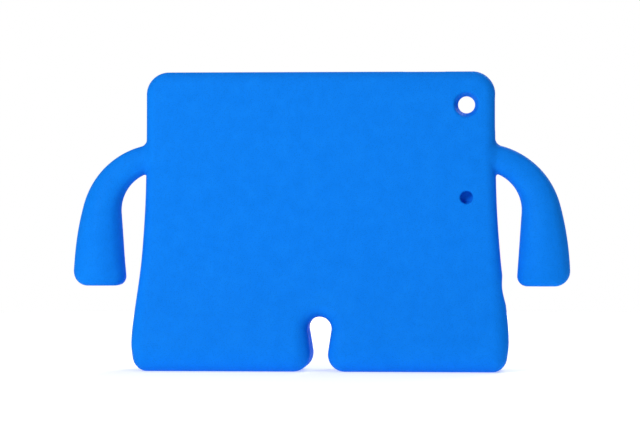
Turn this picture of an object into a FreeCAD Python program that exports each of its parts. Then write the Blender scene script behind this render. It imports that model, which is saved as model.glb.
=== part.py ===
import FreeCAD, Part
import math
import os

# A foam case that stands a tablet up sideways, shaped like a figure with two arms and two legs.
# X runs across the case, Y runs from the screen side (-Y) to the back (+Y), and Z runs up.
# The origin is on the surface that the case stands on, under its middle. Sizes are millimetres.
# The real case is one foam moulding: its nodes are the regions of it, and they meet face to face.

# The tablet that the case holds, lying on its long side
TABLET_LENGTH = 240.0
TABLET_WIDTH = 169.5
TABLET_THICKNESS = 7.5
TABLET_CORNER_R = 10.0
TABLET_BASE_Z = 46.5

# Body, seen from the front
HEIGHT = 226.5
BODY_HALF_WIDTH = 132.4
TOP_CORNER_R = 17.0
FOOT_HALF_WIDTH = 142.6
FOOT_WIDEST_Z = 22.0
FOOT_CORNER_WIDTH = 12.0
SIDE_FLARE = [(133.4, 130.0), (136.4, 85.0), (140.8, 46.0)]

# Notch between the legs: a round arch on a narrow neck that flares at the floor
NOTCH_ARCH_R = 9.1
NOTCH_ARCH_Z = 32.0
NOTCH_FLARE_R = 15.0
NOTCH_NECK_HALF = 7.0

# Body, seen from the side
BODY_HALF_DEPTH = 12.5
FOOT_HALF_DEPTH = 29.0
FOOT_EDGE_R = 12.0
BACK_FLARE = [(16.0, 62.0), (24.0, 34.0)]
BACK_FLARE_TOP_Z = 96.0
FRONT_FLARE = [(-16.5, 40.0), (-25.0, 27.0)]
FRONT_FLARE_TOP_Z = 50.0
EDGE_ROUNDING = 6.0

# How the body divides into its regions
LEG_TOP_Z = 38.0
BACK_THICKNESS = 10.0
LIP_OVERLAP = 4.5
LIP_CORNER_R = 4.0
RIM_Y = (-8.0, 5.5)
TOP_WALL_Z = 211.0
BOTTOM_WALL_Z = 51.5
CAMERA_STRIP_X = -94.0
CAMERA_CORNER_Z = 170.0

# Openings
CAMERA_X = -110.5
CAMERA_Z = 201.6
CAMERA_MOUTH_R = 9.5
CAMERA_THROAT_R = 6.5
MICROPHONE_R = 4.8
MICROPHONE_DEPTH = 8.9
SLOT_WIDTH = 9.0
SLOT_END_R = 4.4
VOLUME_SLOT_X = -79.0
VOLUME_SLOT_LENGTH = 34.0
POWER_SLOT_Z = 195.0
POWER_SLOT_LENGTH = 28.0
JACK_Z = 63.0
JACK_R = 4.5
JACK_MOUTH_R = 8.5
JACK_MOUTH_X = -134.0
JACK_MOUTH_LENGTH = 5.5
PORT_SLOT_LENGTH = 24.0

# Arms: a large and a small round make the bent shoulder, and the arm hangs from it
WALL_X = 132.4
SHOULDER_OUTER = (121.0, 110.0, 63.0)
SHOULDER_INNER = (122.5, 121.5, 29.8)
SHOULDER_FILLET_R = 7.0
ARMPIT_FILLET_R = 3.5
ARM_OUTER_R = 230.0
ARM_OUTER_START_Z = 126.0
ARM_INNER_TILT = math.radians(4.0)
ARM_END_Z = 64.3
ARM_OUTER_CORNER_R = 13.0
ARM_INNER_CORNER_R = 9.0
ARM_ROOT_HALF_DEPTH = 10.0
HAND_HALF_DEPTH = 16.0
HAND_DEPTH_Z = 100.0
ROOT_DEPTH_Z = 158.0
SHOULDER_END_X = 146.0

MARGIN = 10.0
FAR = 400.0
BEYOND = (-FAR, FAR)
POCKET_BACK_Y = BODY_HALF_DEPTH - BACK_THICKNESS
POCKET_FRONT_Y = POCKET_BACK_Y - TABLET_THICKNESS
TABLET_MIDDLE_Y = (POCKET_BACK_Y + POCKET_FRONT_Y) / 2
TABLET_MIDDLE_Z = TABLET_BASE_Z + TABLET_WIDTH / 2

Vector = FreeCAD.Vector
DOWN = Vector(0, 0, -1)


def on_circle(centre_x, centre_z, radius, degrees):
    """A point of a circle in the XZ plane, at an angle from +X towards +Z."""
    angle = math.radians(degrees)
    return Vector(centre_x + radius * math.cos(angle), 0, centre_z + radius * math.sin(angle))


def arc(centre_x, centre_z, radius, start, end):
    """An arc of a circle in the XZ plane, between two angles in degrees."""
    ends = [on_circle(centre_x, centre_z, radius, a) for a in (start, (start + end) / 2, end)]
    return Part.Arc(*ends).toShape()


def line(start, end):
    return Part.LineSegment(start, end).toShape()


def curve(points, start_tangent, end_tangent):
    """A smooth curve through the points, with the directions it has at its ends."""
    spline = Part.BSplineCurve()
    spline.interpolate(Points=points, InitialTangent=start_tangent, FinalTangent=end_tangent)
    return spline.toShape()


def closed_face(edges):
    return Part.Face(Part.Wire(Part.__sortEdges__(edges)))


def region(x=BEYOND, y=BEYOND, z=BEYOND):
    """A box between two planes each way, or past the case where none are given, used to divide it."""
    corner = Vector(x[0], y[0], z[0])
    return Part.makeBox(x[1] - x[0], y[1] - y[0], z[1] - z[0], corner)


def rounded_plate(length, width, corner_r, middle_z, y_from, y_to):
    """An upright plate with round corners, centred on x = 0."""
    plate = Part.makeBox(length, y_to - y_from, width,
                         Vector(-length / 2, y_from, middle_z - width / 2))
    corners = [e for e in plate.Edges if abs(e.tangentAt(0).y) > 0.9]
    return plate.makeFillet(corner_r, corners)


def notch_edges():
    """The right half of the notch between the legs, from the floor up to the top of its arch."""
    flare_x = NOTCH_NECK_HALF + NOTCH_FLARE_R
    drop = NOTCH_ARCH_Z - NOTCH_FLARE_R
    apart = math.hypot(flare_x, drop)
    lean = math.acos((NOTCH_ARCH_R + NOTCH_FLARE_R) / apart) - math.atan2(drop, flare_x)
    lean = math.degrees(lean)
    flare = arc(flare_x, NOTCH_FLARE_R, NOTCH_FLARE_R, 270, 180 + lean)
    arch = arc(0, NOTCH_ARCH_Z, NOTCH_ARCH_R, lean, 90)
    neck = line(on_circle(flare_x, NOTCH_FLARE_R, NOTCH_FLARE_R, 180 + lean),
                on_circle(0, NOTCH_ARCH_Z, NOTCH_ARCH_R, lean))
    return [flare, neck, arch]


def front_outline():
    """The outline of the body and legs from the front, as one face."""
    corner_x = BODY_HALF_WIDTH - TOP_CORNER_R
    corner_z = HEIGHT - TOP_CORNER_R
    sole_x = FOOT_HALF_WIDTH - FOOT_CORNER_WIDTH
    top = line(Vector(0, 0, HEIGHT), Vector(corner_x, 0, HEIGHT))
    corner = arc(corner_x, corner_z, TOP_CORNER_R, 90, 0)
    side = curve([Vector(BODY_HALF_WIDTH, 0, corner_z)]
                 + [Vector(x, 0, z) for x, z in SIDE_FLARE]
                 + [Vector(FOOT_HALF_WIDTH, 0, FOOT_WIDEST_Z)], DOWN, DOWN)
    foot_ellipse = Part.Ellipse(Vector(sole_x, 0, 0), Vector(FOOT_HALF_WIDTH, 0, FOOT_WIDEST_Z),
                                Vector(sole_x, 0, FOOT_WIDEST_Z))
    foot_corner = Part.ArcOfEllipse(foot_ellipse, 0, math.pi / 2).toShape()
    sole = line(Vector(sole_x, 0, 0), Vector(NOTCH_NECK_HALF + NOTCH_FLARE_R, 0, 0))
    half = [top, corner, side, foot_corner, sole] + notch_edges()
    other_half = [e.mirror(Vector(0, 0, 0), Vector(1, 0, 0)) for e in half]
    return closed_face(half + other_half)


def side_outline():
    """The outline of the body and legs from the side, as one face in the YZ plane."""
    ball_y = FOOT_HALF_DEPTH - FOOT_EDGE_R
    round_y = ball_y + FOOT_EDGE_R * math.cos(math.pi / 4)
    round_z = FOOT_EDGE_R * (1 - math.cos(math.pi / 4))
    edges = []
    for way, flare, flare_top in ((1, BACK_FLARE, BACK_FLARE_TOP_Z),
                                  (-1, FRONT_FLARE, FRONT_FLARE_TOP_Z)):
        start = Vector(0, way * BODY_HALF_DEPTH, flare_top)
        end = Vector(0, way * FOOT_HALF_DEPTH, FOOT_EDGE_R)
        between = [Vector(0, y, z) for y, z in flare]
        edges.append(line(Vector(0, way * BODY_HALF_DEPTH, HEIGHT + MARGIN), start))
        edges.append(curve([start] + between + [end], DOWN, DOWN))
        edges.append(Part.Arc(end, Vector(0, way * round_y, round_z),
                              Vector(0, way * ball_y, 0)).toShape())
    edges.append(line(Vector(0, -ball_y, 0), Vector(0, ball_y, 0)))
    edges.append(line(Vector(0, -BODY_HALF_DEPTH, HEIGHT + MARGIN),
                      Vector(0, BODY_HALF_DEPTH, HEIGHT + MARGIN)))
    return closed_face(edges)


def foam_body():
    """The body and legs as one block, with no pocket or holes yet."""
    outline = front_outline()
    outline.translate(Vector(0, -FOOT_HALF_DEPTH - MARGIN, 0))
    across = outline.extrude(Vector(0, 2 * (FOOT_HALF_DEPTH + MARGIN), 0))
    profile = side_outline()
    profile.translate(Vector(-FOOT_HALF_WIDTH - MARGIN, 0, 0))
    along = profile.extrude(Vector(2 * (FOOT_HALF_WIDTH + MARGIN), 0, 0))
    return across.common(along).removeSplitter()


def arm_outline():
    """The outline of the arm at +X from the front, from inside the body wall round the hand and back."""
    outer_x, outer_z, outer_r = SHOULDER_OUTER
    inner_x, inner_z, inner_r = SHOULDER_INNER
    start = Vector(outer_x, 0, 0)

    top_x = WALL_X + SHOULDER_FILLET_R
    top_z = outer_z + math.sqrt((outer_r + SHOULDER_FILLET_R) ** 2 - (top_x - outer_x) ** 2)
    top_angle = math.degrees(math.atan2(top_z - outer_z, top_x - outer_x))
    start.z = top_z
    top_fillet = arc(top_x, top_z, SHOULDER_FILLET_R, 180, 180 + top_angle)

    join_angle = math.degrees(math.asin((ARM_OUTER_START_Z - outer_z) / outer_r))
    shoulder = arc(outer_x, outer_z, outer_r, top_angle, join_angle)
    arm_centre = on_circle(outer_x, outer_z, outer_r - ARM_OUTER_R, join_angle)

    corner_z = ARM_END_Z + ARM_OUTER_CORNER_R
    reach = ARM_OUTER_R - ARM_OUTER_CORNER_R
    corner_x = arm_centre.x + math.sqrt(reach ** 2 - (corner_z - arm_centre.z) ** 2)
    hand_angle = math.degrees(math.atan2(corner_z - arm_centre.z, corner_x - arm_centre.x))
    outside = arc(arm_centre.x, arm_centre.z, ARM_OUTER_R, join_angle, hand_angle)
    outer_corner = arc(corner_x, corner_z, ARM_OUTER_CORNER_R, hand_angle, -90)

    tilt = math.degrees(ARM_INNER_TILT)
    inner_top = on_circle(inner_x, inner_z, inner_r, -tilt)
    palm_z = ARM_END_Z + ARM_INNER_CORNER_R
    palm_x = inner_top.x - (inner_top.z - palm_z) * math.tan(ARM_INNER_TILT)
    palm_x += ARM_INNER_CORNER_R / math.cos(ARM_INNER_TILT)
    inner_corner = arc(palm_x, palm_z, ARM_INNER_CORNER_R, 270, 180 - tilt)
    hand_end = line(Vector(corner_x, 0, ARM_END_Z), Vector(palm_x, 0, ARM_END_Z))
    inside = line(on_circle(palm_x, palm_z, ARM_INNER_CORNER_R, 180 - tilt), inner_top)

    pit_x = WALL_X + ARMPIT_FILLET_R
    pit_z = inner_z + math.sqrt((inner_r - ARMPIT_FILLET_R) ** 2 - (pit_x - inner_x) ** 2)
    pit_angle = math.degrees(math.atan2(pit_z - inner_z, pit_x - inner_x))
    armpit = arc(inner_x, inner_z, inner_r, -tilt, pit_angle)
    pit_fillet = arc(pit_x, pit_z, ARMPIT_FILLET_R, pit_angle, 180)

    top = line(start, Vector(WALL_X, 0, top_z))
    bottom = line(Vector(WALL_X, 0, pit_z), Vector(outer_x, 0, pit_z))
    back = line(bottom.Vertexes[1].Point, start)
    return closed_face([top, top_fillet, shoulder, outside, outer_corner, hand_end, inner_corner,
                        inside, armpit, pit_fillet, bottom, back])


def arm_side_face():
    """The outline of the arm from the side: thinner at the shoulder, thicker at the hand."""
    edges = []
    for way in (1, -1):
        root_top = Vector(0, way * ARM_ROOT_HALF_DEPTH, HEIGHT)
        root = Vector(0, way * ARM_ROOT_HALF_DEPTH, ROOT_DEPTH_Z)
        hand = Vector(0, way * HAND_HALF_DEPTH, HAND_DEPTH_Z)
        hand_end = Vector(0, way * HAND_HALF_DEPTH, 0)
        edges += [line(root_top, root), curve([root, hand], DOWN, DOWN), line(hand, hand_end)]
    for z in (0, HEIGHT):
        depth = ARM_ROOT_HALF_DEPTH if z else HAND_HALF_DEPTH
        edges.append(line(Vector(0, -depth, z), Vector(0, depth, z)))
    return closed_face(edges)


def foam_arm():
    """The whole arm at +X, running into the body."""
    outline = arm_outline()
    outline.translate(Vector(0, -HAND_HALF_DEPTH - MARGIN, 0))
    across = outline.extrude(Vector(0, 2 * (HAND_HALF_DEPTH + MARGIN), 0))
    profile = arm_side_face()
    along = profile.extrude(Vector(FOOT_HALF_WIDTH + 100, 0, 0))
    return across.common(along)


def rounded(shape, end_z, start_x=0.0):
    """Round the edges where the front and back faces meet the outline, but not the seams between faces.

    The outline's own level stretch is at the height end_z. What is nearer the middle than start_x
    stays square."""
    edges = []
    for edge in shape.Edges:
        middle = (edge.FirstParameter + edge.LastParameter) / 2
        tangent = edge.tangentAt(middle)
        place = edge.valueAt(middle)
        level = abs(tangent.x) > 0.999 and abs(place.z - end_z) > 1
        if abs(tangent.y) < 0.9 and not level and abs(place.x) >= start_x:
            edges.append(edge)
    return shape.makeFillet(EDGE_ROUNDING, edges)


def wall_slot(length, across):
    """A slot with round ends through a wall: up through the top wall, or across through a side wall."""
    if across:
        size = (4 * MARGIN, SLOT_WIDTH, length)
    else:
        size = (length, SLOT_WIDTH, 4 * MARGIN)
    block = Part.makeBox(*size, Vector(*[-s / 2 for s in size]))
    through = 0 if across else 2
    ends = [e for e in block.Edges if abs(e.tangentAt(0)[through]) > 0.9]
    return block.makeFillet(SLOT_END_R, ends)


def slot_at(slot, x, z):
    """The slot moved to its place, level with the middle of the tablet's edge."""
    slot.translate(Vector(x, TABLET_MIDDLE_Y, z))
    return slot


def pocket_plate(y_from, y_to):
    """The tablet's outline as an upright plate."""
    return rounded_plate(TABLET_LENGTH, TABLET_WIDTH, TABLET_CORNER_R, TABLET_MIDDLE_Z, y_from, y_to)


def back_regions(upper):
    """The panel behind the tablet: its plain part, the corner with the camera's funnel, and the strip
    with the microphone's recess, which leaves a thin skin of foam."""
    skin = upper.common(region(y=(RIM_Y[1], FAR)))
    panel = skin.fuse(pocket_plate(POCKET_BACK_Y, RIM_Y[1])).removeSplitter()
    funnel = Part.makeCone(CAMERA_THROAT_R, CAMERA_MOUTH_R, BACK_THICKNESS,
                           Vector(CAMERA_X, POCKET_BACK_Y, CAMERA_Z), Vector(0, 1, 0))
    microphone = Part.makeCylinder(MICROPHONE_R, 2 * MARGIN,
                                   Vector(CAMERA_X, BODY_HALF_DEPTH - MICROPHONE_DEPTH, TABLET_MIDDLE_Z),
                                   Vector(0, 1, 0))
    panel = panel.cut([funnel, microphone])
    strip = (-FAR, CAMERA_STRIP_X)
    return {
        "back_panel": panel.common(region(x=(CAMERA_STRIP_X, FAR))),
        "camera_corner": panel.common(region(x=strip, z=(CAMERA_CORNER_Z, FAR))),
        "microphone_strip": panel.common(region(x=strip, z=(-FAR, CAMERA_CORNER_Z))),
    }


def walls(upper):
    """The four walls round the tablet's edge, with a slot or hole for each button and socket."""
    ring = upper.common(region(y=RIM_Y)).cut(pocket_plate(*RIM_Y))
    openings = [
        slot_at(wall_slot(VOLUME_SLOT_LENGTH, False), VOLUME_SLOT_X, HEIGHT - MARGIN / 2),
        slot_at(wall_slot(POWER_SLOT_LENGTH, True), -WALL_X + MARGIN / 2, POWER_SLOT_Z),
        slot_at(wall_slot(PORT_SLOT_LENGTH, True), WALL_X - MARGIN / 2, TABLET_MIDDLE_Z),
        Part.makeCylinder(JACK_R, 4 * MARGIN, Vector(-WALL_X - 2 * MARGIN, TABLET_MIDDLE_Y, JACK_Z),
                          Vector(1, 0, 0)),
    ]
    ring = ring.cut(openings)
    beside = (BOTTOM_WALL_Z, TOP_WALL_Z)
    return {
        "top_wall": ring.common(region(z=(TOP_WALL_Z, FAR))),
        "bottom_wall": ring.common(region(z=(-FAR, BOTTOM_WALL_Z))),
        "left_wall": ring.common(region(x=(0, FAR), z=beside)),
        "right_wall": ring.common(region(x=(-FAR, 0), z=beside)),
    }


def jack_mouth():
    """The funnel in the outer surface that leads a finger-thick plug to the headphone hole."""
    return Part.makeCone(JACK_R, JACK_MOUTH_R, JACK_MOUTH_LENGTH,
                         Vector(JACK_MOUTH_X, TABLET_MIDDLE_Y, JACK_Z), Vector(-1, 0, 0))


def front_bezel(upper):
    """The lip that holds the tablet in, open over its screen."""
    skin = upper.common(region(y=(-FAR, RIM_Y[0])))
    lip = skin.fuse(pocket_plate(RIM_Y[0], POCKET_FRONT_Y)).removeSplitter()
    window = rounded_plate(TABLET_LENGTH - 2 * LIP_OVERLAP, TABLET_WIDTH - 2 * LIP_OVERLAP,
                           LIP_CORNER_R, TABLET_MIDDLE_Z, -BODY_HALF_DEPTH - MARGIN, POCKET_FRONT_Y + 1)
    return lip.cut(window)


def mirrored(shape):
    return shape.mirror(Vector(0, 0, 0), Vector(1, 0, 0))


def save(name, shape):
    """Write one region as its own solid."""
    if len(shape.Solids) != 1 or not shape.isValid():
        raise ValueError(f"{name} is not one valid solid")
    shape.Solids[0].exportStep(f"parts/{name}.step")


def main():
    os.makedirs("parts", exist_ok=True)
    body = rounded(foam_body(), HEIGHT)
    upper = body.common(region(z=(LEG_TOP_Z, FAR))).cut(jack_mouth())
    lower = body.common(region(z=(-FAR, LEG_TOP_Z)))
    nodes = back_regions(upper) | walls(upper)
    nodes["front_bezel"] = front_bezel(upper)
    nodes["left_leg"] = lower.common(region(x=(0, FAR)))
    nodes["right_leg"] = lower.common(region(x=(-FAR, 0)))

    arm = rounded(foam_arm(), ARM_END_Z, WALL_X)
    root = region(x=(0, SHOULDER_END_X))
    nodes["left_shoulder"] = arm.common(root).cut(body)
    nodes["left_arm"] = arm.cut(root)
    for name in ("shoulder", "arm"):
        nodes[f"right_{name}"] = mirrored(nodes[f"left_{name}"])

    for name, shape in nodes.items():
        save(name, shape)


main()
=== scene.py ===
import math

import bmesh
import bpy
import numpy as np
from mathutils import Matrix, Vector


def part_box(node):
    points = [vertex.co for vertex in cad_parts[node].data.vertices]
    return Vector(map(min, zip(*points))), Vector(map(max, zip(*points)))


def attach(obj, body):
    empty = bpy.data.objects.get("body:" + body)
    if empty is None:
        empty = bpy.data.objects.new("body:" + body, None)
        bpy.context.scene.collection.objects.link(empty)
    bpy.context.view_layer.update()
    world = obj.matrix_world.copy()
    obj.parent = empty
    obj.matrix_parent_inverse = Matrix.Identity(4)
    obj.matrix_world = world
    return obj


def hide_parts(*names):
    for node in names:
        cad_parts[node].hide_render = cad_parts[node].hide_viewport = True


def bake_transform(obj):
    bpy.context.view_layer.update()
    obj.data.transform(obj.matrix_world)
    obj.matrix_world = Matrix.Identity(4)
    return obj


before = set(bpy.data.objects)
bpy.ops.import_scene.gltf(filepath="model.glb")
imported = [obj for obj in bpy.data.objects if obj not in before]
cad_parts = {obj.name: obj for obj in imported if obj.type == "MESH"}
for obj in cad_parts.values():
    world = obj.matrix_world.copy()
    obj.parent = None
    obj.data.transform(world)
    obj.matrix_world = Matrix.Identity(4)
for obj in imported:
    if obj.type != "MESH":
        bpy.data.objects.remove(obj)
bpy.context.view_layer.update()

# Shapes are worked out in millimetres, in the frame's own directions, and become metres in the meshes.
# +X is the figure's left, +Y is out of the closed back and +Z is up.
MM = 0.001


def millimetres(corner):
    return [c / MM for c in corner]


# Sizes that the frame gives
wall_low, wall_high = map(millimetres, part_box("top_wall"))
arm_low, arm_high = map(millimetres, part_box("left_arm"))
shoulder_high = millimetres(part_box("left_shoulder")[1])
FOOT_REACH, FOOT_DEPTH, LEG_TOP = millimetres(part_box("left_leg")[1])
RIM_FRONT, RIM_BACK = wall_low[1], wall_high[1]
HEIGHT = wall_high[2]
HAND_END = arm_low[2]
HAND_REACH = arm_high[0]
HAND_DEPTH = arm_high[1]
SHOULDER_DEPTH = shoulder_high[1] - 1.6

# The body's outline from the front
WALL = 132.4
TOP_CORNER_R = 17.0
SOLE_CORNER_R = 10.0
SIDE_REACH = ((0, FOOT_REACH - 2.3), (22, FOOT_REACH), (46, 140.9), (85, 136.4), (130, 133.4), (200, WALL))
ARCH_Z, ARCH_R = 32.0, 9.1
NECK_Z, NECK_REACH, NECK_LEAN = 16.8, 7.1, 0.136
NOTCH_FLARE_R = 15.0

# The body from the side, and how its edges round off
BODY_DEPTH = 12.5
BACK_REACH = ((12, FOOT_DEPTH), (34, 24.0), (62, 16.0), (96, BODY_DEPTH))
FRONT_REACH = ((12, FOOT_DEPTH), (27, 25.0), (40, 16.5), (50, BODY_DEPTH))
BACK_EDGE_R = ((25, 11.0), (110, 8.0))
FRONT_EDGE_R = 8.0
CROWN, CROWN_WIDTH = 1.2, 20.0

# The arms: two rounds make the bent shoulder, and a long curve and a leaning line make the arm
OUTER_X, OUTER_Z, OUTER_R = 121.0, 110.0, 62.4
INNER_X, INNER_Z, INNER_R = 122.5, 121.5, 29.8
ARM_CURVE_R, ARM_CURVE_Z = 230.0, 126.0
ARM_TILT = math.radians(4)
HAND_OUTER_R, HAND_INNER_R = 12.0, 8.0
ARM_ROOT = 126.0
ARM_REACH = ((100, HAND_DEPTH), (158, SHOULDER_DEPTH))
ARM_EDGE_R = ((66, 5.5), (84, 8.0), (130, 6.5), (158, 4.0))
ARM_CROWN = ((100, 8.0), (158, 4.4))
ARM_FILLET_R = ((148, 2.5), (172, 4.5))

# The pocket for the tablet, the window over its screen, and the openings round it
POCKET = (120.0, 84.75)
POCKET_Z = 131.25
POCKET_R = 10.0
POCKET_FRONT, POCKET_BACK = -5.0, 2.5
POCKET_MIDDLE = (POCKET_FRONT + POCKET_BACK) / 2
LIP_OVERLAP, LIP_CORNER_R = 3.0, 4.0
WINDOW_EDGE_R, LIP_EDGE_R = 3.0, 2.0
CAMERA_X, CAMERA_Z = -110.8, 201.2
CAMERA_THROAT_R, CAMERA_MOUTH_R = 5.9, 9.5
MICROPHONE_R, MICROPHONE_FLOOR = 4.8, 3.6
HOLE_EDGE_R = 1.2
SLOT_R, SLOT_EDGE_R = 4.5, 2.0
VOLUME_X, VOLUME_LENGTH = -79.0, 34.0
POWER_Z, POWER_LENGTH = 195.0, 28.0
PORT_LENGTH = 24.0
JACK_Z, JACK_EDGE_R = 62.0, 1.5
JACK_MOUTH_X, JACK_MOUTH_SLANT = 134.0, 1.35
CUT_START = POCKET[0] - 0.5
PORT_END = 138.0
GAP_MIDDLE = 143.5

GRID_STEP = 1.15


def smooth_curve(t, knots):
    """A smooth curve through (place, value) knots, level before the first and after the last."""
    place, value = (np.array(column, float) for column in zip(*knots))
    slope = np.zeros(len(knots))
    slope[1:-1] = (value[2:] - value[:-2]) / (place[2:] - place[:-2])
    n = np.clip(np.searchsorted(place, t) - 1, 0, len(knots) - 2)
    span = place[n + 1] - place[n]
    u = np.clip((t - place[n]) / span, 0, 1)
    rise = value[n + 1] - value[n]
    return (value[n] + rise * u * u * (3 - 2 * u)
            + span * u * (1 - u) * (slope[n] * (1 - u) - slope[n + 1] * u))


def round_max(a, b, r):
    """Where two solids meet, with the edge between them rounded to radius r."""
    corner = np.hypot(np.maximum(a + r, 0), np.maximum(b + r, 0)) - r
    return np.minimum(np.maximum(a, b), -r) * (np.maximum(a, b) < -r) + corner * (np.maximum(a, b) >= -r)


def round_min(a, b, r):
    """Two solids joined, with a hollow fillet of radius r between them."""
    return -round_max(-a, -b, r)


def rounded_rectangle(x, z, half_x, half_z, r):
    over_x, over_z = np.abs(x) - half_x + r, np.abs(z) - half_z + r
    return (np.hypot(np.maximum(over_x, 0), np.maximum(over_z, 0))
            + np.minimum(np.maximum(over_x, over_z), 0) - r)


def body_plan(x, z):
    """Distance outside the body's outline, seen from the front."""
    across = np.abs(x)
    block = round_max(across - smooth_curve(z, SIDE_REACH), z - HEIGHT, TOP_CORNER_R)
    block = round_max(block, -z, SOLE_CORNER_R)
    arch = np.hypot(across, z - ARCH_Z) - ARCH_R
    neck = (across - NECK_REACH - NECK_LEAN * (z - NECK_Z)) / math.hypot(1, NECK_LEAN)
    notch = np.where(z - ARCH_Z < -NECK_LEAN * across, neck, arch)
    return round_max(block, -notch, NOTCH_FLARE_R)


def arm_plan(x, z):
    """Distance outside an arm's outline, seen from the front, and how far from its middle line, up to 1."""
    across = np.abs(x)
    join_z = (ARM_CURVE_Z - OUTER_Z) / OUTER_R
    join_x = math.sqrt(1 - join_z ** 2)
    curve_x = OUTER_X + join_x * (OUTER_R - ARM_CURVE_R)
    curve_z = OUTER_Z + join_z * (OUTER_R - ARM_CURVE_R)
    below_join = (across - OUTER_X) * join_z > (z - OUTER_Z) * join_x
    outer = np.where(below_join, np.hypot(across - curve_x, z - curve_z) - ARM_CURVE_R,
                     np.hypot(across - OUTER_X, z - OUTER_Z) - OUTER_R)
    along_x, along_z = across - INNER_X, z - INNER_Z
    line = INNER_R - along_x * math.cos(ARM_TILT) + along_z * math.sin(ARM_TILT)
    below_line = along_x * -math.sin(ARM_TILT) > along_z * math.cos(ARM_TILT)
    inner = np.where(below_line, line, INNER_R - np.hypot(along_x, along_z))
    end = HAND_END - z
    hand = np.maximum(round_max(outer, end, HAND_OUTER_R), round_max(inner, end, HAND_INNER_R))
    off_middle = (inner - outer) / np.minimum(inner + outer, -1)
    return np.maximum(hand, ARM_ROOT - across), np.clip(off_middle, -1, 1)


def slot(along, half_length, y, limit):
    """A slot with round ends across the tablet's thickness, kept on one side by limit."""
    past = np.maximum(np.abs(along) - half_length + SLOT_R, 0)
    return np.maximum(np.hypot(past, y - POCKET_MIDDLE) - SLOT_R, limit)


def foam(x, y, z):
    """Distance outside the whole case, in millimetres. It is negative in the foam."""
    back = y > 0
    plan = body_plan(x, z)
    reach = np.where(back, smooth_curve(z, BACK_REACH), smooth_curve(z, FRONT_REACH))
    face = np.abs(y) - reach + CROWN * np.clip(1 + plan / CROWN_WIDTH, 0, 1) ** 2
    body = round_max(plan, face, np.where(back, smooth_curve(z, BACK_EDGE_R), FRONT_EDGE_R))
    plan, off_middle = arm_plan(x, z)
    face = np.abs(y) - smooth_curve(z, ARM_REACH) + smooth_curve(z, ARM_CROWN) * off_middle ** 2
    arm = round_max(plan, face, smooth_curve(z, ARM_EDGE_R))
    solid = round_min(body, arm, smooth_curve(z, ARM_FILLET_R))

    window = np.maximum(rounded_rectangle(x, z - POCKET_Z, POCKET[0] - LIP_OVERLAP,
                                          POCKET[1] - LIP_OVERLAP, LIP_CORNER_R), y - POCKET_MIDDLE)
    pocket = np.maximum(rounded_rectangle(x, z - POCKET_Z, *POCKET, POCKET_R),
                        np.abs(y - POCKET_MIDDLE) - (POCKET_BACK - POCKET_FRONT) / 2)
    solid = round_max(solid, -window, WINDOW_EDGE_R)
    solid = round_max(solid, -pocket, LIP_EDGE_R)

    slant = (CAMERA_MOUTH_R - CAMERA_THROAT_R) / (BODY_DEPTH - POCKET_BACK)
    funnel = np.hypot(x - CAMERA_X, z - CAMERA_Z) - CAMERA_THROAT_R - slant * (y - POCKET_BACK)
    funnel = np.maximum(funnel * math.cos(math.atan(slant)), POCKET_MIDDLE - y)
    microphone = np.hypot(x - CAMERA_X, z - POCKET_Z) - MICROPHONE_R
    microphone = np.maximum(microphone, MICROPHONE_FLOOR - y)
    solid = round_max(solid, -np.minimum(funnel, microphone), HOLE_EDGE_R)

    right_wall = np.abs(x + (CUT_START + GAP_MIDDLE) / 2) - (GAP_MIDDLE - CUT_START) / 2
    left_wall = np.abs(x - (CUT_START + PORT_END) / 2) - (PORT_END - CUT_START) / 2
    volume = slot(x - VOLUME_X, VOLUME_LENGTH / 2, y, POCKET_Z + POCKET[1] - 0.5 - z)
    power = slot(z - POWER_Z, POWER_LENGTH / 2, y, right_wall)
    port = slot(z - POCKET_Z, PORT_LENGTH / 2, y, left_wall)
    solid = round_max(solid, -np.minimum(np.minimum(volume, power), port), SLOT_EDGE_R)
    from_jack = np.hypot(z - JACK_Z, y - POCKET_MIDDLE)
    jack = from_jack - SLOT_R - JACK_MOUTH_SLANT * np.maximum(-x - JACK_MOUTH_X, 0)
    jack = np.maximum(jack * math.cos(math.atan(JACK_MOUTH_SLANT)), right_wall)
    return round_max(solid, -jack, JACK_EDGE_R)


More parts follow.
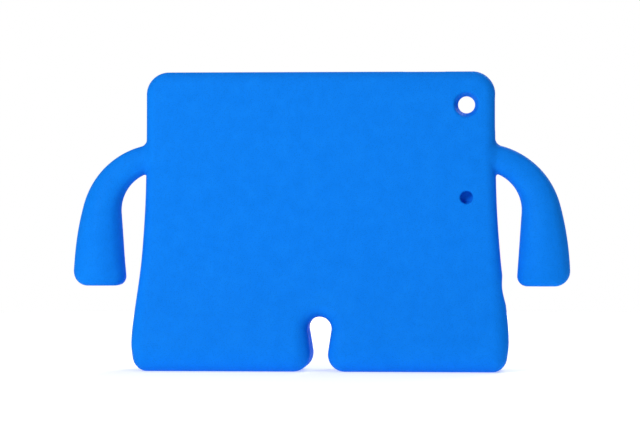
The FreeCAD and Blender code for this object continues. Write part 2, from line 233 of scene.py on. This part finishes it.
def surface_net(step):
    """(points, quads) round the foam: one point in each grid cell that its surface crosses."""
    reach = np.array([HAND_REACH, FOOT_DEPTH, HEIGHT / 2]) + 4 * step
    middle = np.array([0, 0, HEIGHT / 2])
    counts = np.ceil(2 * reach / step).astype(int) + 1
    axes = [m - r + step * np.arange(n) for m, r, n in zip(middle, reach, counts)]
    field = foam(axes[0][:, None, None], axes[1][None, :, None], axes[2][None, None, :])
    inside = field < 0
    corners = [(i, j, k) for i in (0, 1) for j in (0, 1) for k in (0, 1)]

    def corner_of(values, corner):
        return values[tuple(slice(c, values.shape[a] - 1 + c) for a, c in enumerate(corner))]

    held = sum(corner_of(inside, c).astype(np.int8) for c in corners)
    cells = np.argwhere((held > 0) & (held < 8))
    number = np.full(held.shape, -1, np.int32)
    number[tuple(cells.T)] = np.arange(len(cells))

    total, crossings = np.zeros((len(cells), 3)), np.zeros(len(cells))
    for a in corners:
        for axis in range(3):
            if a[axis]:
                continue
            b = tuple(c + (n == axis) for n, c in enumerate(a))
            start, end = (field[tuple((cells + c).T)] for c in (a, b))
            crossed = (start < 0) != (end < 0)
            share = np.where(crossed, start / np.where(crossed, start - end, 1), 0)
            place = np.array(a, float) + share[:, None] * np.eye(3)[axis]
            total += place * crossed[:, None]
            crossings += crossed
    points = np.array([axis[0] for axis in axes]) + (cells + total / crossings[:, None]) * step

    quads = []
    for axis in range(3):
        low = tuple(slice(1, -1) if n != axis else slice(0, -1) for n in range(3))
        high = tuple(slice(1, -1) if n != axis else slice(1, None) for n in range(3))
        first, second = inside[low], inside[high]
        offset = np.array([n != axis for n in range(3)], int)
        one, two = (np.eye(3, dtype=int)[(axis + n) % 3] for n in (1, 2))
        for leaving, order in ((first & ~second, 1), (~first & second, -1)):
            nodes = np.argwhere(leaving) + offset
            ring = [nodes - one - two, nodes - two, nodes, nodes - one][::order]
            quads.append(np.stack([number[tuple(c.T)] for c in ring], 1))
    return points, np.concatenate(quads)


def slopes(points, reach=0.05):
    """(distance, direction it grows in) at each point."""
    gradient = np.empty_like(points)
    for axis in range(3):
        ahead, behind = points.copy(), points.copy()
        ahead[:, axis] += reach
        behind[:, axis] -= reach
        gradient[:, axis] = (foam(*ahead.T) - foam(*behind.T)) / (2 * reach)
    return foam(*points.T), gradient


def settle(points, quads, rounds=5):
    """Move the points onto the surface, and even them out along it."""
    edges = np.concatenate([quads[:, [0, 1]], quads[:, [1, 2]], quads[:, [2, 3]], quads[:, [3, 0]]])
    ends = np.concatenate([edges, edges[:, ::-1]])
    degree = np.bincount(ends[:, 0], minlength=len(points))
    for n in range(rounds):
        distance, gradient = slopes(points)
        squared = np.maximum((gradient ** 2).sum(1), 0.25)
        step = -gradient * (distance / squared)[:, None]
        if n < rounds - 2:
            sums = [np.bincount(ends[:, 0], points[ends[:, 1], axis], len(points)) for axis in range(3)]
            pull = np.stack(sums, 1) / degree[:, None] - points
            normal = gradient / np.sqrt(squared)[:, None]
            step += 0.5 * (pull - normal * (pull * normal).sum(1)[:, None])
        points = points + step
    return points


# Where the moulding is divided. An arm begins past its wall cut, and the finger gap parts it from the body.
WALL_CUT = 134.0
SHOULDER_Z = 140.0
SPARE = 2.0
EVERYWHERE = -1.0


def of_arm(x, z, spare=0.0):
    """True for what belongs to an arm rather than to the body."""
    return np.abs(x) > np.where(z > SHOULDER_Z, WALL_CUT + spare, GAP_MIDDLE)


def foam_form(keep):
    """The quads whose middles keep() takes, as an editable mesh."""
    chosen = quads[keep(*points[quads].mean(1).T)]
    used, faces = np.unique(chosen, return_inverse=True)
    mesh = bpy.data.meshes.new("foam")
    mesh.from_pydata(points[used], [], faces.reshape(-1, 4))
    form = bmesh.new()
    form.from_mesh(mesh)
    bpy.data.meshes.remove(mesh)
    for face in form.faces:
        face.smooth = True
    return form


def divided(form, *cuts):
    """A copy without what is past each (place, normal, lowest height) plane, closed with flat caps."""
    form = form.copy()
    for place, normal, above in cuts:
        faces = [f for f in form.faces if f.calc_center_median().z > above]
        edges = {e for f in faces for e in f.edges}
        corners = {v for f in faces for v in f.verts}
        cut = bmesh.ops.bisect_plane(form, geom=faces + list(edges) + list(corners), plane_co=place,
                                     plane_no=normal, clear_outer=True, dist=1e-5)["geom_cut"]
        rim = [e for e in cut if isinstance(e, bmesh.types.BMEdge) and e.is_boundary]
        if rim:
            cap = bmesh.ops.triangle_fill(form, edges=rim, normal=normal, use_beauty=True)["geom"]
            for face in cap:
                if isinstance(face, bmesh.types.BMFace):
                    face.smooth = False
    return form


def foam_piece(name, form, material, *nodes):
    """A piece of the moulding in place of CAD nodes, shaded by the true slope of the foam's surface."""
    mesh = bpy.data.meshes.new(name)
    form.to_mesh(mesh)
    places = np.empty(len(mesh.vertices) * 3)
    mesh.vertices.foreach_get("co", places)
    normals = slopes(places.reshape(-1, 3))[1]
    normals /= np.linalg.norm(normals, axis=1)[:, None]
    shading = normals[[loop.vertex_index for loop in mesh.loops]]
    for face in mesh.polygons:
        if not face.use_smooth:
            shading[face.loop_start:face.loop_start + face.loop_total] = face.normal
    mesh.normals_split_custom_set(shading)
    mesh.transform(Matrix.Scale(MM, 4))
    mesh.materials.append(material)
    piece = bpy.data.objects.new(name, mesh)
    bpy.context.scene.collection.objects.link(piece)
    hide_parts(*nodes)
    return piece


def eva_foam():
    """Moulded closed-cell foam: a satin skin with fine pores, a faint mottle and soft unevenness.
    Scales are in waves or cells per metre, and depths of bumps in metres."""
    material = bpy.data.materials.new("azure_eva_foam")
    material.use_nodes = True
    tree = material.node_tree
    shader = tree.nodes["Principled BSDF"]
    place = tree.nodes.new("ShaderNodeTexCoord").outputs["Object"]

    def noise(scale, detail, roughness=0.5):
        node = tree.nodes.new("ShaderNodeTexNoise")
        node.inputs["Scale"].default_value = scale
        node.inputs["Detail"].default_value = detail
        node.inputs["Roughness"].default_value = roughness
        tree.links.new(place, node.inputs["Vector"])
        return node.outputs["Fac"]

    def ramp(source, *stops):
        node = tree.nodes.new("ShaderNodeValToRGB")
        for n, (at, colour) in enumerate(stops):
            stop = node.color_ramp.elements[n] if n < 2 else node.color_ramp.elements.new(at)
            stop.position, stop.color = at, (*colour, 1)
        tree.links.new(source, node.inputs["Fac"])
        return node.outputs["Color"]

    def bump(height, strength, distance, below=None):
        node = tree.nodes.new("ShaderNodeBump")
        node.inputs["Strength"].default_value = strength
        node.inputs["Distance"].default_value = distance
        tree.links.new(height, node.inputs["Height"])
        if below:
            tree.links.new(below, node.inputs["Normal"])
        return node.outputs["Normal"]

    pores = tree.nodes.new("ShaderNodeTexVoronoi")
    pores.feature = "F1"
    pores.inputs["Scale"].default_value = 900
    tree.links.new(place, pores.inputs["Vector"])
    mottle = ramp(noise(90, 6, 0.65), (0.3, (0.0036, 0.190, 0.78)), (0.5, (0.0042, 0.199, 0.81)),
                  (0.7, (0.0050, 0.210, 0.83)))
    specks = ramp(pores.outputs["Distance"], (0.05, (0.80,) * 3), (0.40, (1,) * 3))
    skin = tree.nodes.new("ShaderNodeMix")
    skin.data_type, skin.blend_type = "RGBA", "MULTIPLY"
    skin.inputs["Factor"].default_value = 1
    first, second = [socket for socket in skin.inputs if socket.type == "RGBA"]
    tree.links.new(mottle, first)
    tree.links.new(specks, second)
    mixed = [socket for socket in skin.outputs if socket.type == "RGBA"]
    tree.links.new(mixed[0], shader.inputs["Base Color"])
    satin = ramp(noise(140, 4), (0.3, (0.46,) * 3), (0.7, (0.56,) * 3))
    tree.links.new(satin, shader.inputs["Roughness"])
    shader.inputs["Specular IOR Level"].default_value = 0.01

    swell = bump(noise(30, 1), 0.25, 0.0004)
    grain = bump(noise(520, 6, 0.65), 0.35, 0.0003, swell)
    tree.links.new(bump(pores.outputs["Distance"], 0.35, 0.00025, grain), shader.inputs["Normal"])
    return material


points, quads = surface_net(GRID_STEP)
points = settle(points, quads)
foam_material = eva_foam()

arm_cuts = [((side * WALL_CUT, 0, 0), (side, 0, 0), SHOULDER_Z - 1) for side in (1, -1)]
case = divided(foam_form(lambda x, y, z: ~of_arm(x, z, SPARE)), *arm_cuts)
legs = divided(case, ((0, 0, LEG_TOP), (0, 0, 1), EVERYWHERE))
upper = divided(case, ((0, 0, LEG_TOP), (0, 0, -1), EVERYWHERE))
back = divided(upper, ((0, RIM_BACK, 0), (0, -1, 0), EVERYWHERE))
rim = divided(upper, ((0, RIM_BACK, 0), (0, 1, 0), EVERYWHERE), ((0, RIM_FRONT, 0), (0, -1, 0), EVERYWHERE))
front = divided(upper, ((0, RIM_FRONT, 0), (0, 1, 0), EVERYWHERE))
case_pieces = [
    foam_piece("back_panel_foam", back, foam_material, "back_panel", "camera_corner", "microphone_strip"),
    foam_piece("rim_foam", rim, foam_material, "top_wall", "bottom_wall", "left_wall", "right_wall"),
    foam_piece("front_bezel_foam", front, foam_material, "front_bezel"),
]
for side, sign in (("left", 1), ("right", -1)):
    leg = divided(legs, ((0, 0, 0), (-sign, 0, 0), EVERYWHERE))
    case_pieces.append(foam_piece(f"{side}_leg_foam", leg, foam_material, f"{side}_leg"))
for piece in case_pieces:
    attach(piece, "case")

# Each shoulder twists right outside the body, and each arm bends from there through its spread hinge.
# Both happen along a way that leaves the lower end of the arm's root, outwards and a little down.
ROOT_LOW = (134.0, 147.0)
WAY_LEAN = 0.5
TWIST_LENGTH, BEND_LENGTH = 8.0, 18.0
for side, sign in (("left", 1), ("right", -1)):
    whole = foam_form(lambda x, y, z: of_arm(x, z, -SPARE) & (sign * x > 0))
    root = Vector((sign * ROOT_LOW[0], 0, ROOT_LOW[1]))
    way = Vector((sign, 0, -WAY_LEAN)).normalized()
    seam = root + way * TWIST_LENGTH
    at_wall = ((sign * WALL_CUT, 0, 0), (-sign, 0, 0), EVERYWHERE)
    shoulder = divided(whole, at_wall, (seam, way, EVERYWHERE))
    shoulder = foam_piece(f"{side}_shoulder_foam", shoulder, foam_material, f"{side}_shoulder")
    arm = divided(whole, (seam, -way, EVERYWHERE))
    arm = foam_piece(f"{side}_arm_foam", arm, foam_material, f"{side}_arm")
    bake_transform(shoulder)
    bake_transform(arm)


# Places in the studio are in metres
FLOOR_R = 1.2
LIT_PLACE = Vector((0, 0, 0.12))
CAMERA_AIM = Vector((0.00044, 0, 0.11916))
CAMERA_DISTANCE, CAMERA_TURN, CAMERA_LENS = 2.0, math.radians(4.0), 148.1


def studio():
    """A pale floor and surround, a soft key light high on the figure's left, a sky and a light in front."""
    scene = bpy.context.scene
    mesh = bpy.data.meshes.new("floor")
    form = bmesh.new()
    bmesh.ops.create_circle(form, cap_ends=True, segments=96, radius=FLOOR_R)
    form.to_mesh(mesh)
    form.free()
    floor = bpy.data.objects.new("floor", mesh)
    scene.collection.objects.link(floor)
    pale = bpy.data.materials.new("pale_floor")
    pale.use_nodes = True
    shader = pale.node_tree.nodes["Principled BSDF"]
    shader.inputs["Base Color"].default_value = (0.80, 0.80, 0.80, 1)
    shader.inputs["Roughness"].default_value = 0.9
    shader.inputs["Specular IOR Level"].default_value = 0.1
    shader.inputs["Emission Color"].default_value = (1, 1, 1, 1)
    shader.inputs["Emission Strength"].default_value = 0.45
    mesh.materials.append(pale)

    world = bpy.data.worlds.new("surround")
    world.use_nodes = True
    links, nodes = world.node_tree.links, world.node_tree.nodes
    dim = nodes["Background"]
    dim.inputs["Color"].default_value = (1, 1, 1, 1)
    dim.inputs["Strength"].default_value = 0.2
    bright = nodes.new("ShaderNodeBackground")
    seen = nodes.new("ShaderNodeLightPath")
    either = nodes.new("ShaderNodeMixShader")
    links.new(seen.outputs["Is Camera Ray"], either.inputs["Fac"])
    links.new(dim.outputs["Background"], either.inputs[1])
    links.new(bright.outputs["Background"], either.inputs[2])
    links.new(either.outputs["Shader"], nodes["World Output"].inputs["Surface"])
    bright.inputs["Color"].default_value = (1, 1, 1, 1)
    scene.world = world

    def soft_box(name, place, power, size):
        light = bpy.data.lights.new(name, "AREA")
        light.shape = "DISK"
        light.energy, light.size = power, size
        lamp = bpy.data.objects.new(name, light)
        lamp.location = place
        lamp.rotation_mode = "QUATERNION"
        lamp.rotation_quaternion = (Vector(place) - LIT_PLACE).to_track_quat("Z", "Y")
        scene.collection.objects.link(lamp)

    soft_box("key", (0.76, 1.42, 0.84), 17.4, 0.5)
    sky = bpy.data.lights.new("overhead", "SUN")
    sky.energy, sky.angle = 0.8, math.radians(60)
    scene.collection.objects.link(bpy.data.objects.new("overhead", sky))
    soft_box("front", (-0.55, -1.30, 0.85), 16, 0.8)
    scene.view_settings.view_transform = "Standard"


def camera():
    """Level with the middle of the case, behind it and a little to the figure's right."""
    lens = bpy.data.cameras.new("camera")
    lens.lens = CAMERA_LENS
    lens.clip_end = 100
    eye = bpy.data.objects.new("camera", lens)
    away = Vector((-math.sin(CAMERA_TURN), math.cos(CAMERA_TURN), 0))
    eye.location = CAMERA_AIM + away * CAMERA_DISTANCE
    eye.rotation_mode = "QUATERNION"
    eye.rotation_quaternion = away.to_track_quat("Z", "Y")
    bpy.context.scene.collection.objects.link(eye)
    bpy.context.scene.camera = eye


studio()
camera()
